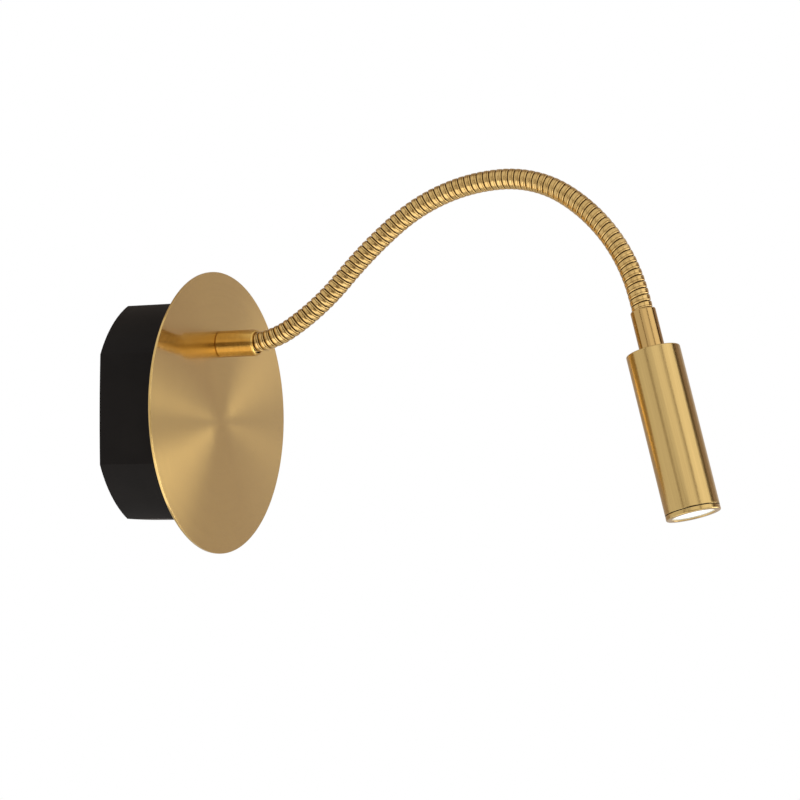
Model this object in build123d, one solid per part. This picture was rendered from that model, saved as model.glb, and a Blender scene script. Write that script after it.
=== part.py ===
from build123d import *
from math import cos, pi, radians, sin, sqrt
import os

# Wall spotlight on a bendable neck, in millimetres
# The wall is the plane Y = 0, the light reaches out along -Y, +Z is up and X runs along the wall

# Face plate with welded studs
plate_dia = 120.0
plate_thick = 1.0
plate_edge = 0.2
stud_dia = 3.0
stud_length = 8.0
upper_stud_x = 30.0
upper_stud_z = 26.0
lower_stud_x = 20.0
lower_stud_z = -38.5

# Back box, round with four flats, open towards the wall
box_across_flats = 90.1
box_across_rounds = 101.0
box_crown = 0.4
box_depth = 31.4
box_wall = 2.0
box_front = 2.0
boss_dia = 8.0
boss_height = 6.0

# Wall bracket
bracket_thick = 1.5
bracket_arm_height = 34.0
bracket_arm_margin = 3.5
bracket_stem_width = 34.0
ear_width = 16.0
ear_depth = 15.0
ear_bend_radius = 1.5
slot_spacing = 60.3
slot_length = 12.0
slot_width = 4.6
cable_hole_dia = 20.0

# Screws, nuts and fits
small_screw_dia = 3.0
small_screw_length = 6.0
small_head_dia = 5.5
small_head_height = 2.0
flat_screw_length = 8.0
flat_head_dia = 5.8
flat_head_height = 1.6
flat_screw_out = 9.5
earth_screw_dia = 4.0
earth_screw_length = 7.0
earth_head_dia = 7.0
earth_head_height = 2.6
nut_across_flats = 5.5
nut_height = 2.4
blind_depth = 0.5
thread_gap = 0.05
hole_gap = 0.2
seat_gap = 0.1
slide_gap = 0.3

# Base ferrule that carries the neck
arm_height = 29.3
stub_dia = 11.4
stub_length = 17.6
stub_edge = 0.7
socket_dia = 9.1
socket_depth = 10.0
tail_dia = 9.8
tail_length = 11.0
lead_bore_dia = 4.4
washer_dia = 18.0
washer_thick = 1.2
tail_nut_across_flats = 14.0
tail_nut_height = 5.0

# Neck route: it leans about the ferrule's axis and follows tangent bends of radius and turn in degrees
neck_lean = 4.4
bend_in_socket = 4.0
neck_bends = [
    (37.1, 31.2),
    (107.1, 16.7),
    (191.5, -9.3),
    (75.9, -38.7),
    (49.4, -33.6),
    (76.0, -39.2),
    (194.8, -2.4),
]

# Neck winding, made in lengths so that the neck can bend between them
neck_dia = 8.5
neck_lengths = 13
wire_dia = 1.85
pitch = 2.68
wire_end_gap = 1.0
core_gap = 0.9
core_wall = 0.55
core_clear = 0.15

# Head
head_ferrule_dia = 10.1
head_ferrule_length = 17.0
head_ferrule_edge = 0.5
head_socket_depth = 9.0
head_tail_dia = 7.8
head_tail_length = 8.5
head_nut_across_flats = 13.0
head_nut_height = 4.0
head_dia = 21.5
head_length = 66.6
head_wall = 1.5
head_rear = 3.0
head_edge = 0.5
head_step = 0.6
bezel_height = 1.8
bezel_groove = 0.35
bezel_edge = 0.3
bezel_opening_dia = 17.2
bezel_lip = 0.5
bezel_sleeve = 6.0
bezel_sleeve_wall = 0.6
lens_thick = 2.0
seal_thick = 0.4
seal_wall = 0.5
reflector_height = 9.0
reflector_wall = 0.8
reflector_rim = 0.8
reflector_throat_dia = 9.6
emitter_dia = 8.0
emitter_thick = 1.0
board_dia = 18.0
board_thick = 1.6
board_screw_dia = 1.6
board_screw_length = 5.0
board_head_dia = 2.6
board_head_height = 0.8
board_screw_circle = 15.0
sink_length = 16.0

# Driver, terminals and leads
driver_length = 54.0
driver_height = 28.0
driver_depth = 17.0
driver_wall = 1.4
driver_cover_thick = 1.6
driver_lip = 1.0
driver_drop = 21.0
driver_lift = 0.4
tab_length = 8.0
tab_thick = 2.5
driver_board_thick = 1.6
driver_board_lift = 2.0
coil_block = 13.0
coil_block_height = 7.5
capacitor_dia = 7.0
capacitor_length = 12.0
terminal_length = 22.0
terminal_height = 13.0
terminal_depth = 12.0
terminal_x = 24.0
terminal_z = 8.0
pole_pitch = 7.0
pole_bore = 3.4
pole_floor = 5.0
pole_screw_dia = 3.2
pole_screw_length = 4.0
pole_screw_sink = 0.5
earth_x = -31.0
earth_z = 5.0
earth_boss_dia = 9.0
ring_dia = 8.0
ring_thick = 0.8
wire_lead_dia = 1.8
wire_grip = 4.0
lead_clear = 0.5
lamp_lead_dia = 2.2
live_rise = 9.5
neutral_rise = 6.0
lamp_rise = 7.0
inlet_depth = 12.0

lean = radians(neck_lean)
front_out = box_depth + plate_thick
box_inner = box_depth - box_front
boss_top = box_inner - boss_height
tab_top = boss_top - tab_thick
MIN = (Align.CENTER, Align.CENTER, Align.MIN)
parts = {}


def rod(dia, low, high, x=0.0, y=0.0):
    return Pos(x, y, low) * Cylinder(dia / 2, high - low, align=MIN)


def slab(width, height, low, high, x=0.0, y=0.0):
    return Pos(x, y, low) * Box(width, height, high - low, align=MIN)


def nut(across_flats, bore, low, high, x=0.0, y=0.0):
    hexagon = RegularPolygon(across_flats / 2, 6, major_radius=False)
    return Pos(x, y, low) * extrude(hexagon, high - low) - rod(bore, low, high, x, y)


def spun(*points):
    # Turned shape about the local Z axis from radius and height
    return revolve(Plane.XZ * make_face(Polyline(*points, close=True)), Axis.Z)


def cross_slot(head, depth):
    slot = Box(head * 0.6, head * 0.16, 2 * depth)
    return slot + Rot(0, 0, 90) * slot


def pan_screw(shank, length, head, height):
    # The head's underside is at zero and the shank runs up
    top = fillet(rod(head, -height, 0).edges().group_by(Axis.Z)[0], height * 0.4)
    return top + rod(shank, 0, length) - Pos(0, 0, -height) * cross_slot(head, height * 0.5)


def on_wall(shape):
    # Local x, y and z become X, Z and the distance from the wall
    return Plane.XZ.location * shape


def out_of_wall(x, z, out):
    return Vector(x, -out, z)


# Outline of the back box: four crowned flats joined by arcs of one circle
def box_outline(half, radius):
    reach = sqrt(radius * radius - half * half)
    corner = radius / sqrt(2)
    edges = []
    for turn in range(4):
        flat = ThreePointArc((half, -reach), (half + box_crown, 0), (half, reach))
        arc = ThreePointArc((half, reach), (corner, corner), (reach, half))
        edges += [Rot(0, 0, 90 * turn) * flat, Rot(0, 0, 90 * turn) * arc]
    return make_face(edges)


half_flat = box_across_flats / 2
half_inner = half_flat - box_wall
back_box = extrude(box_outline(half_flat, box_across_rounds / 2), box_depth)
back_box -= extrude(box_outline(half_inner, box_across_rounds / 2 - box_wall), box_inner)

stud_spots = [
    (upper_stud_x, upper_stud_z),
    (-upper_stud_x, upper_stud_z),
    (lower_stud_x, lower_stud_z),
    (-lower_stud_x, lower_stud_z),
]
tab_reach = (driver_length + tab_length) / 2
terminal_reach = (terminal_length + tab_length) / 2
module_spots = [
    (tab_reach, -driver_drop),
    (-tab_reach, -driver_drop),
    (terminal_x + terminal_reach, terminal_z),
    (terminal_x - terminal_reach, terminal_z),
]
ring_top = boss_top - ring_thick
for x, y in module_spots:
    back_box += rod(boss_dia, boss_top, box_inner, x, y)
back_box += rod(earth_boss_dia, boss_top, box_inner, earth_x, earth_z)
for x, y in module_spots:
    screw_end = tab_top + small_screw_length + blind_depth
    back_box -= rod(small_screw_dia + 2 * thread_gap, boss_top, screw_end, x, y)
earth_end = ring_top + earth_screw_length + blind_depth
back_box -= rod(earth_screw_dia + 2 * thread_gap, boss_top, earth_end, earth_x, earth_z)
for x, y in stud_spots:
    back_box -= rod(stud_dia + 2 * hole_gap, box_inner, box_depth, x, y)
back_box -= rod(tail_dia + 2 * hole_gap, box_inner, box_depth, 0, arm_height)

# Flush countersunk screws through the top and bottom flats into the bracket's ears
flat_top = half_flat + box_crown
shank = small_screw_dia / 2
flat_screw = spun(
    (0, 0),
    (flat_head_dia / 2, 0),
    (shank, -flat_head_height),
    (shank, -flat_screw_length),
    (0, -flat_screw_length),
)
flat_screw -= cross_slot(flat_head_dia, flat_head_height * 0.5)
flat_hole = spun(
    (0, box_crown),
    (flat_head_dia / 2 + thread_gap, box_crown),
    (flat_head_dia / 2 + thread_gap, 0),
    (shank + thread_gap, -flat_head_height),
    (shank + thread_gap, -flat_screw_length),
    (0, -flat_screw_length),
)
flat_spots = [
    Pos(0, flat_top, flat_screw_out) * Rot(-90, 0, 0),
    Pos(0, -flat_top, flat_screw_out) * Rot(90, 0, 0),
]
for spot in flat_spots:
    back_box -= spot * flat_hole
parts["back_box"] = on_wall(back_box)
parts["box_fixing_screws"] = on_wall(Compound([spot * flat_screw for spot in flat_spots]))

# Wall bracket: a cross of sheet metal with a bent ear at the top and the bottom
ear_out = half_inner - slide_gap
bend = ear_bend_radius + bracket_thick
stem_half = ear_out - bend
diagonal = sqrt(0.5)
ear_face = make_face(
    [
        Line((0, 0), (stem_half, 0)),
        ThreePointArc(
            (stem_half, 0),
            (stem_half + bend * diagonal, bend - bend * diagonal),
            (ear_out, bend),
        ),
        Line((ear_out, bend), (ear_out, ear_depth)),
        Line((ear_out, ear_depth), (ear_out - bracket_thick, ear_depth)),
        Line((ear_out - bracket_thick, ear_depth), (ear_out - bracket_thick, bend)),
        ThreePointArc(
            (ear_out - bracket_thick, bend),
            (stem_half + ear_bend_radius * diagonal, bend - ear_bend_radius * diagonal),
            (stem_half, bracket_thick),
        ),
        Line((stem_half, bracket_thick), (0, bracket_thick)),
        Line((0, bracket_thick), (0, 0)),
    ]
)
ear = extrude(Plane.YZ * ear_face, ear_width / 2, both=True)
arm_width = 2 * (half_inner - bracket_arm_margin)
bracket = slab(arm_width, bracket_arm_height, 0, bracket_thick)
bracket += slab(bracket_stem_width, 2 * stem_half, 0, bracket_thick)
bracket += ear
bracket += Rot(0, 0, 180) * ear
slot = extrude(SlotOverall(slot_length, slot_width), bracket_thick)
for x in (slot_spacing / 2, -slot_spacing / 2):
    bracket -= Pos(x, 0, 0) * slot
bracket -= rod(cable_hole_dia, 0, bracket_thick)
for spot in flat_spots:
    bracket -= spot * flat_hole
parts["wall_bracket"] = on_wall(bracket)

# Face plate with its studs and nuts
plate = chamfer(rod(plate_dia, box_depth, front_out).edges().group_by(Axis.Z)[-1], plate_edge)
for x, y in stud_spots:
    plate += rod(stud_dia, box_depth - stud_length, box_depth, x, y)
plate -= rod(tail_dia + 2 * hole_gap, box_depth, front_out, 0, arm_height)
parts["face_plate"] = on_wall(plate)
nuts = [
    nut(nut_across_flats, stud_dia + 2 * thread_gap, box_inner - nut_height, box_inner, x, y)
    for x, y in stud_spots
]
parts["plate_nuts"] = on_wall(Compound(nuts))

# Base ferrule, clamped through the plate and the box by its nut
mouth_out = front_out + stub_length
shoulder_out = mouth_out - socket_depth
stub = fillet(rod(stub_dia, front_out, mouth_out).edges().group_by(Axis.Z)[-1], stub_edge)
stub += rod(tail_dia, front_out - tail_length, front_out)
stub -= rod(socket_dia, shoulder_out, mouth_out)
stub -= rod(lead_bore_dia, front_out - tail_length, shoulder_out)
parts["base_ferrule"] = on_wall(Pos(0, arm_height, 0) * stub)
washer_low = box_inner - washer_thick
washer = rod(washer_dia, washer_low, box_inner) - rod(tail_dia + 2 * hole_gap, washer_low, box_inner)
parts["ferrule_washer"] = on_wall(Pos(0, arm_height, 0) * washer)
tail_nut = nut(tail_nut_across_flats, tail_dia + 2 * thread_gap, washer_low - tail_nut_height, washer_low)
parts["ferrule_nut"] = on_wall(Pos(0, arm_height, 0) * tail_nut)

# Driver: a case with tabs on the bosses, a cover on its wall side and a board inside
driver_high = box_inner - driver_lift
driver_low = driver_high - driver_depth
rim = driver_low + driver_cover_thick
room_length = driver_length - 2 * driver_wall
room_height = driver_height - 2 * driver_wall
inlet_out = driver_low + inlet_depth
case = slab(driver_length, driver_height, rim, driver_high)
case -= slab(room_length, room_height, rim, driver_high - driver_wall)
for side in (1, -1):
    tab = slab(tab_length, boss_dia, tab_top, boss_top, side * tab_reach)
    case += tab - rod(small_screw_dia + 2 * hole_gap, tab_top, boss_top, side * tab_reach)
for side, rise, dia in (
    (1, live_rise, wire_lead_dia),
    (1, neutral_rise, wire_lead_dia),
    (-1, lamp_rise, lamp_lead_dia),
):
    hole = Rot(0, 90, 0) * Cylinder(dia / 2 + hole_gap, 2 * driver_wall)
    case -= Pos(side * (driver_length - driver_wall) / 2, rise, inlet_out) * hole
parts["driver_case"] = on_wall(Pos(0, -driver_drop, 0) * case)
cover = slab(driver_length, driver_height, driver_low, rim)
cover += slab(room_length - 2 * slide_gap, room_height - 2 * slide_gap, rim, rim + driver_lip)
parts["driver_cover"] = on_wall(Pos(0, -driver_drop, 0) * cover)
board_high = driver_high - driver_wall - driver_board_lift
board_low = board_high - driver_board_thick
board = slab(room_length - 2 * slide_gap, room_height - 2 * slide_gap, board_low, board_high)
board += slab(coil_block, coil_block, board_low - coil_block_height, board_low)
can = Rot(90, 0, 0) * Cylinder(capacitor_dia / 2, capacitor_length)
board += Pos(-coil_block - slide_gap, 0, board_low - capacitor_dia / 2 + seat_gap) * can
parts["driver_board"] = on_wall(Pos(0, -driver_drop, 0) * board)

# Terminal block with three poles
block_low = boss_top - terminal_depth
pole_out = boss_top - pole_floor
block = slab(terminal_length, terminal_height, block_low, boss_top)
for side in (1, -1):
    tab = slab(tab_length, boss_dia, tab_top, boss_top, side * terminal_reach)
    block += tab - rod(small_screw_dia + 2 * hole_gap, tab_top, boss_top, side * terminal_reach)
pole_screws = []
for pole in (-1, 0, 1):
    x = pole * pole_pitch
    block -= Pos(x, 0, pole_out) * Rot(90, 0, 0) * Cylinder(pole_bore / 2, terminal_height)
    screw_low = block_low + pole_screw_sink
    screw_high = screw_low + pole_screw_length
    block -= rod(pole_screw_dia + 2 * thread_gap, block_low, screw_high + blind_depth, x)
    notch = Pos(x, 0, screw_low) * Box(pole_screw_dia * 1.2, 0.6, 2.0)
    pole_screws.append(rod(pole_screw_dia, screw_low, screw_high, x) - notch)
parts["terminal_block"] = on_wall(Pos(terminal_x, terminal_z, 0) * block)
parts["terminal_screws"] = on_wall(Pos(terminal_x, terminal_z, 0) * Compound(pole_screws))
module_screw = pan_screw(small_screw_dia, small_screw_length, small_head_dia, small_head_height)
parts["module_screws"] = on_wall(Compound([Pos(x, y, tab_top) * module_screw for x, y in module_spots]))
earth_screw = pan_screw(earth_screw_dia, earth_screw_length, earth_head_dia, earth_head_height)
parts["earth_screw"] = on_wall(Pos(earth_x, earth_z, ring_top) * earth_screw)


# Neck route as runs of length and curvature in the leaning plane
neck_root = shoulder_out + wire_dia / 2 + seat_gap
end_straight = head_socket_depth - wire_dia / 2 - seat_gap
runs = [(mouth_out - bend_in_socket - neck_root, 0.0)]
for radius, turn in neck_bends:
    runs.append((abs(radians(turn)) * radius, (1 if turn > 0 else -1) / radius))
runs.append((end_straight, 0.0))
neck_length = sum(run for run, bend in runs)
spacing = neck_length / neck_lengths
lateral = Vector(cos(lean), 0, -sin(lean))


def neck_state(s):
    # Distance out, height over the ferrule's axis, heading and curvature at a length along the neck
    out, up, heading, left = neck_root, 0.0, 0.0, s
    for run, bend in runs:
        step = min(left, run)
        if bend:
            turned = heading + bend * step
            out += (sin(turned) - sin(heading)) / bend
            up -= (cos(turned) - cos(heading)) / bend
            heading = turned
        else:
            out += step * cos(heading)
            up += step * sin(heading)
        left -= step
        if left <= 0:
            break
    return out, up, heading, bend


def neck_point(s):
    out, up, heading, bend = neck_state(s)
    return Vector(up * sin(lean), -out, arm_height + up * cos(lean))


def neck_direction(heading):
    return Vector(sin(heading) * sin(lean), -cos(heading), sin(heading) * cos(lean))


def neck_edges(low, high):
    edges, start = [], 0.0
    for run, bend in runs:
        first, last = max(low, start), min(high, start + run)
        if last - first > 0.01:
            middle = neck_point((first + last) / 2)
            if bend:
                edges.append(ThreePointArc(neck_point(first), middle, neck_point(last)))
            else:
                edges.append(Line(neck_point(first), neck_point(last)))
        start += run
    return edges


# Winding: round wire laid on the neck's bore, swept on biarcs of half a turn
coil_radius = (neck_dia - wire_dia) / 2


def coil_point(s, phase):
    out, up, heading, bend = neck_state(s)
    along, across = neck_direction(heading), neck_direction(heading + pi / 2)
    rate = 2 * pi / pitch * coil_radius
    point = neck_point(s) + lateral * (coil_radius * cos(phase)) + across * (coil_radius * sin(phase))
    course = along * (1 - bend * coil_radius * sin(phase))
    course += across * (rate * cos(phase)) - lateral * (rate * sin(phase))
    return point, course.normalized()


def biarc(start, start_course, end, end_course):
    span = end - start
    square = 2 * (1 - start_course.dot(end_course))
    linear = 2 * span.dot(start_course + end_course)
    reach = (sqrt(linear * linear + 4 * square * span.dot(span)) - linear) / (2 * square)
    knee, hip = start + start_course * reach, end - end_course * reach
    middle = (knee + hip) * 0.5
    return [
        Edge.make_tangent_arc(start, start_course, middle),
        Edge.make_tangent_arc(middle, hip - knee, end),
    ]


half_turns = int(spacing / (pitch / 2))
wound = half_turns * pitch / 2
margin = (spacing - wound) / 2
turn_on = half_turns * pi + wire_end_gap / coil_radius
steps = 16
trail = []
for i in range(neck_lengths):
    marks = [
        coil_point(i * spacing + margin + k * pitch / 2, i * turn_on + k * pi)
        for k in range(half_turns + 1)
    ]
    edges = []
    for (a, course_a), (b, course_b) in zip(marks, marks[1:]):
        edges += biarc(a, course_a, b, course_b)
    section = Plane(origin=marks[0][0], z_dir=marks[0][1]) * Circle(wire_dia / 2)
    parts[f"neck_winding_{i:02d}"] = sweep(section, path=Wire(edges))
    for n in range(half_turns * steps + 1):
        s = i * spacing + margin + n * pitch / 2 / steps
        trail.append((i * turn_on + n * pi / steps, coil_point(s, i * turn_on + n * pi / steps)[0]))

    low = i * spacing + (core_gap / 2 if i else 0)
    high = (i + 1) * spacing - (core_gap / 2 if i < neck_lengths - 1 else 0)
    core_dia = neck_dia - 2 * wire_dia - 2 * core_clear
    start, heading = neck_point(low), neck_state(low)[2]
    ring = Circle(core_dia / 2) - Circle(core_dia / 2 - core_wall)
    ring = Plane(origin=start, x_dir=lateral, z_dir=neck_direction(heading)) * ring
    parts[f"neck_core_{i:02d}"] = sweep(ring, path=Wire(neck_edges(low, high)))

# Least gap of the winding to itself, measured on points of the wire's centre line
gaps = [
    (p - q).length - wire_dia
    for n, (phase, p) in enumerate(trail)
    for later, q in trail[n + 1 : n + 4 * steps]
    if later - phase > 1.2 * pi
]
print(f"winding: {neck_lengths * half_turns / 2} turns, least gap to itself {min(gaps):.2f} mm")

# Head, built along its own axis from the neck's end of its ferrule
head_mouth = neck_length - end_straight
head_axis = neck_direction(neck_state(neck_length)[2])
head_plane = Plane(origin=neck_point(head_mouth), x_dir=lateral, z_dir=head_axis)


def on_head(shape):
    return head_plane.location * shape


rear = head_ferrule_length
front = rear + head_length
ferrule = chamfer(rod(head_ferrule_dia, 0, rear).edges().group_by(Axis.Z)[0], head_ferrule_edge)
ferrule += rod(head_tail_dia, rear, rear + head_tail_length)
ferrule -= rod(socket_dia, 0, head_socket_depth)
ferrule -= rod(lead_bore_dia, head_socket_depth, rear + head_tail_length)
parts["head_ferrule"] = on_head(ferrule)
floor = rear + head_rear
head_nut = nut(head_nut_across_flats, head_tail_dia + 2 * thread_gap, floor, floor + head_nut_height)
parts["head_nut"] = on_head(head_nut)

# Stack in the head, from the bezel's lip back to the step in the bore
bezel_low = front - bezel_height
shell_end = bezel_low - bezel_groove
lip_low = front - bezel_lip
lens_high = lip_low - seal_thick
lens_low = lens_high - lens_thick
board_face = lens_low - reflector_height
sink_high = board_face - board_thick
sink_low = sink_high - sink_length
bore_dia = head_dia - 2 * head_wall
front_bore = bore_dia + 2 * head_step
sleeve_dia = front_bore - 2 * seat_gap
sleeve_bore = sleeve_dia - 2 * bezel_sleeve_wall
lens_dia = sleeve_bore - 2 * seat_gap

shell = fillet(rod(head_dia, rear, shell_end).edges().group_by(Axis.Z)[0], head_edge)
shell -= rod(bore_dia, floor, shell_end)
shell -= rod(front_bore, sink_low, shell_end)
shell -= rod(head_tail_dia + 2 * hole_gap, rear, floor)
parts["head_body"] = on_head(shell)
ring = chamfer(rod(head_dia, bezel_low, front).edges().group_by(Axis.Z)[-1], bezel_edge)
ring += rod(sleeve_dia, bezel_low - bezel_sleeve, bezel_low)
ring -= rod(sleeve_bore, bezel_low - bezel_sleeve, lip_low)
ring -= rod(bezel_opening_dia, lip_low, front)
parts["front_bezel"] = on_head(ring)
seal = rod(lens_dia, lens_high, lip_low) - rod(lens_dia - 2 * seal_wall, lens_high, lip_low)
parts["lens_seal"] = on_head(seal)
parts["front_lens"] = on_head(rod(lens_dia, lens_low, lens_high))
throat, wide = reflector_throat_dia / 2, lens_dia / 2
cup = spun(
    (throat, board_face),
    (throat + reflector_wall, board_face),
    (wide, lens_low - reflector_rim),
    (wide, lens_low),
    (wide - reflector_wall, lens_low),
)
parts["reflector"] = on_head(cup)
parts["led_emitter"] = on_head(rod(emitter_dia, board_face, board_face + emitter_thick))
led_board = rod(board_dia, sink_high, board_face)
sink = rod(front_bore - 2 * seat_gap, sink_low, sink_high) - rod(lead_bore_dia, sink_low, sink_high)
board_screws = []
for x in (board_screw_circle / 2, -board_screw_circle / 2):
    led_board -= rod(board_screw_dia + 2 * hole_gap, sink_high, board_face, x)
    tip = board_face - board_screw_length
    sink -= rod(board_screw_dia + 2 * thread_gap, tip - blind_depth, sink_high, x)
    screw = pan_screw(board_screw_dia, board_screw_length, board_head_dia, board_head_height)
    board_screws.append(Pos(x, 0, board_face) * Rot(180, 0, 0) * screw)
parts["led_board"] = on_head(led_board)
parts["heat_sink"] = on_head(sink)
parts["board_screws"] = on_head(Compound(board_screws))


# Leads, each swept along its own route from end to end
def lead(dia, edges):
    path = Wire(edges)
    section = Plane(origin=path @ 0, z_dir=path % 0) * Circle(dia / 2)
    return sweep(section, path=path)


pole_end = terminal_z - terminal_height / 2 + wire_grip
driver_end = (driver_length - driver_wall) / 2
live_z = live_rise - driver_drop
neutral_z = neutral_rise - driver_drop
lamp_z = lamp_rise - driver_drop
up, out, left = Vector(0, 0, 1), Vector(0, -1, 0), Vector(-1, 0, 0)
pole_face = terminal_z - terminal_height / 2 - lead_clear


def pole_run(pole):
    # Straight stretch of a lead in its pole, from inside the block to just below it
    x = terminal_x + pole * pole_pitch
    return out_of_wall(x, pole_end, pole_out), out_of_wall(x, pole_face, pole_out)


def inlet_run(side, z):
    # Straight stretch of a lead through the driver's wall, from just outside it
    outer = side * (driver_length / 2 + lead_clear)
    return out_of_wall(outer, z, inlet_out), out_of_wall(side * driver_end, z, inlet_out)


held, free = pole_run(0)
outer, inner = inlet_run(1, live_z)
live = Spline(
    free,
    out_of_wall(driver_end + 4.2, live_z + 5.0, inlet_out - 3.4),
    outer,
    tangents=(up * -1, left),
)
parts["live_lead"] = lead(wire_lead_dia, [Line(held, free), live, Line(outer, inner)])
held, free = pole_run(1)
outer, inner = inlet_run(1, neutral_z)
neutral = Spline(
    free,
    out_of_wall(driver_end + 8.0, neutral_z + 6.0, inlet_out - 6.0),
    outer,
    tangents=(up * -1, left),
)
parts["neutral_lead"] = lead(wire_lead_dia, [Line(held, free), neutral, Line(outer, inner)])
held, free = pole_run(-1)
ring_wire = ring_top - seat_gap
earth = Spline(
    out_of_wall(earth_x + earth_head_dia / 2 + slide_gap, earth_z, ring_wire),
    out_of_wall(earth_x + 19.0, earth_z - 4.0, pole_out - 1.0),
    out_of_wall(terminal_x - pole_pitch - 5.0, pole_face - 2.6, pole_out - 1.0),
    free,
    tangents=(left * -1, up),
)
lug = rod(ring_dia, ring_top, boss_top) - rod(earth_screw_dia + 2 * hole_gap, ring_top, boss_top)
earth_wire = lead(wire_lead_dia, [earth, Line(free, held)])
parts["earth_lead"] = earth_wire + on_wall(Pos(earth_x, earth_z, 0) * lug)
tail_end = front_out - tail_length
outer, inner = inlet_run(-1, lamp_z)
lamp = Spline(
    outer,
    out_of_wall(-driver_end - 8.0, lamp_z + 8.0, inlet_out - 8.0),
    out_of_wall(-driver_end - 5.0, lamp_z + 26.0, inlet_out - 14.0),
    out_of_wall(-7.0, arm_height - 2.0, tail_end - 8.0),
    out_of_wall(0, arm_height, tail_end),
    tangents=(left, out),
)
lamp_end = head_plane.origin + head_axis * (sink_high - slide_gap)
lamp_run = [Line(inner, outer), lamp, Line(out_of_wall(0, arm_height, tail_end), neck_point(0))]
lamp_run += neck_edges(0, neck_length)
lamp_run.append(Line(neck_point(neck_length), lamp_end))
parts["lamp_lead"] = lead(lamp_lead_dia, lamp_run)

os.makedirs("parts", exist_ok=True)
for name, shape in parts.items():
    export_step(shape, f"parts/{name}.step")
    print(name, len(shape.solids()), round(shape.volume, 1))
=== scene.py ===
import bpy
import bmesh
from math import atan2, cos, hypot, pi, radians, sin, tan
from mathutils import Matrix, Vector


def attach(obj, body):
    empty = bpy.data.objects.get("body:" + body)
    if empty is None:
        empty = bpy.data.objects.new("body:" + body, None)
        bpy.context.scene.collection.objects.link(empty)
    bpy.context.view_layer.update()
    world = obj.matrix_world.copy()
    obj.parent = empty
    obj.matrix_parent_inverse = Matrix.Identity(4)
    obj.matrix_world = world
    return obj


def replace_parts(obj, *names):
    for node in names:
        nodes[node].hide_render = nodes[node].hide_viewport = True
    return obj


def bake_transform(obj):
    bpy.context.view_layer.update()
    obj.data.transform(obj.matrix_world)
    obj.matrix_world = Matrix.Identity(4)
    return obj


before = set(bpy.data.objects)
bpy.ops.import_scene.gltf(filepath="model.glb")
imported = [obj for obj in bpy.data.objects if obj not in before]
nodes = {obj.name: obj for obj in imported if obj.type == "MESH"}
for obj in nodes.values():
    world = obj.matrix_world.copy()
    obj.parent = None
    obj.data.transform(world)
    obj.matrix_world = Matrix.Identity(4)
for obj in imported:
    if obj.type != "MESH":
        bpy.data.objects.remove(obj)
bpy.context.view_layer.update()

mm = 0.001
scene = bpy.context.scene
scene.view_settings.view_transform = "Standard"


# Picking and finishing

def take(piece):
    if bpy.context.object and bpy.context.object.mode != "OBJECT":
        bpy.ops.object.mode_set(mode="OBJECT")
    bpy.ops.object.select_all(action="DESELECT")
    piece.select_set(True)
    bpy.context.view_layer.objects.active = piece


def editPiece(piece):
    take(piece)
    bpy.ops.object.mode_set(mode="EDIT")
    bpy.ops.mesh.select_mode(type="VERT")
    bpy.ops.mesh.select_all(action="DESELECT")
    return bmesh.from_edit_mesh(piece.data)


def endEdit():
    bpy.ops.object.mode_set(mode="OBJECT")


def addModifier(piece, kind, **settings):
    take(piece)
    modifier = piece.modifiers.new(kind, kind)
    for key, value in settings.items():
        setattr(modifier, key, value)
    bpy.ops.object.modifier_apply(modifier=modifier.name)


def smoothBy(piece, angle):
    take(piece)
    bpy.ops.object.shade_smooth_by_angle(angle=radians(angle))


def placeBy(piece, matrix):
    take(piece)
    piece.matrix_world = matrix
    bpy.ops.object.transform_apply(location=True, rotation=True, scale=True)


def joinInto(piece, others):
    take(piece)
    for other in others:
        other.select_set(True)
    bpy.ops.object.join()


# Values for all turned pieces, in millimetres and degrees
turning = {"hold": 0.22, "weld": 0.002, "bevelAngle": 35, "smoothAngle": 32, "nearAxis": 0.01, "mapScale": 10}


# Long runs of an outline get a point near each end, so that shading stays even up to the rounded edges
def heldRuns(outline):
    hold = turning["hold"]
    points = []
    for (r, h), (nextR, nextH) in zip(outline, outline[1:] + outline[:1]):
        points.append((r, h))
        run = hypot(nextR - r, nextH - h)
        if run > 4 * hold and (r or nextR):
            points += [(r + (nextR - r) * f, h + (nextH - h) * f) for f in (hold / run, 1 - hold / run)]
    return points


# A turned piece: a ring of vertices is shaped to the outline of radius and height, and spun about Z
def turnPiece(name, outline, steps, edge, edgeSteps=3):
    outline = heldRuns(outline)
    bpy.ops.object.select_all(action="DESELECT")
    bpy.ops.mesh.primitive_circle_add(vertices=len(outline), radius=mm)
    piece = bpy.context.object
    piece.name = piece.data.name = name
    mesh = editPiece(piece)
    mesh.verts.ensure_lookup_table()
    for vert, (radius, height) in zip(mesh.verts, outline):
        vert.co = Vector((radius, 0, height)) * mm
    bmesh.update_edit_mesh(piece.data)
    bpy.ops.mesh.select_all(action="SELECT")
    bpy.ops.mesh.spin(steps=steps, angle=2 * pi, center=(0, 0, 0), axis=(0, 0, 1))
    bpy.ops.mesh.select_all(action="SELECT")
    bpy.ops.mesh.remove_doubles(threshold=turning["weld"] * mm)
    bpy.ops.mesh.normals_make_consistent(inside=False)
    endEdit()
    addModifier(piece, "BEVEL", width=edge * mm, segments=edgeSteps, limit_method="ANGLE",
                angle_limit=radians(turning["bevelAngle"]))
    wrapRound(piece)
    smoothBy(piece, turning["smoothAngle"])
    return piece


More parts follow.
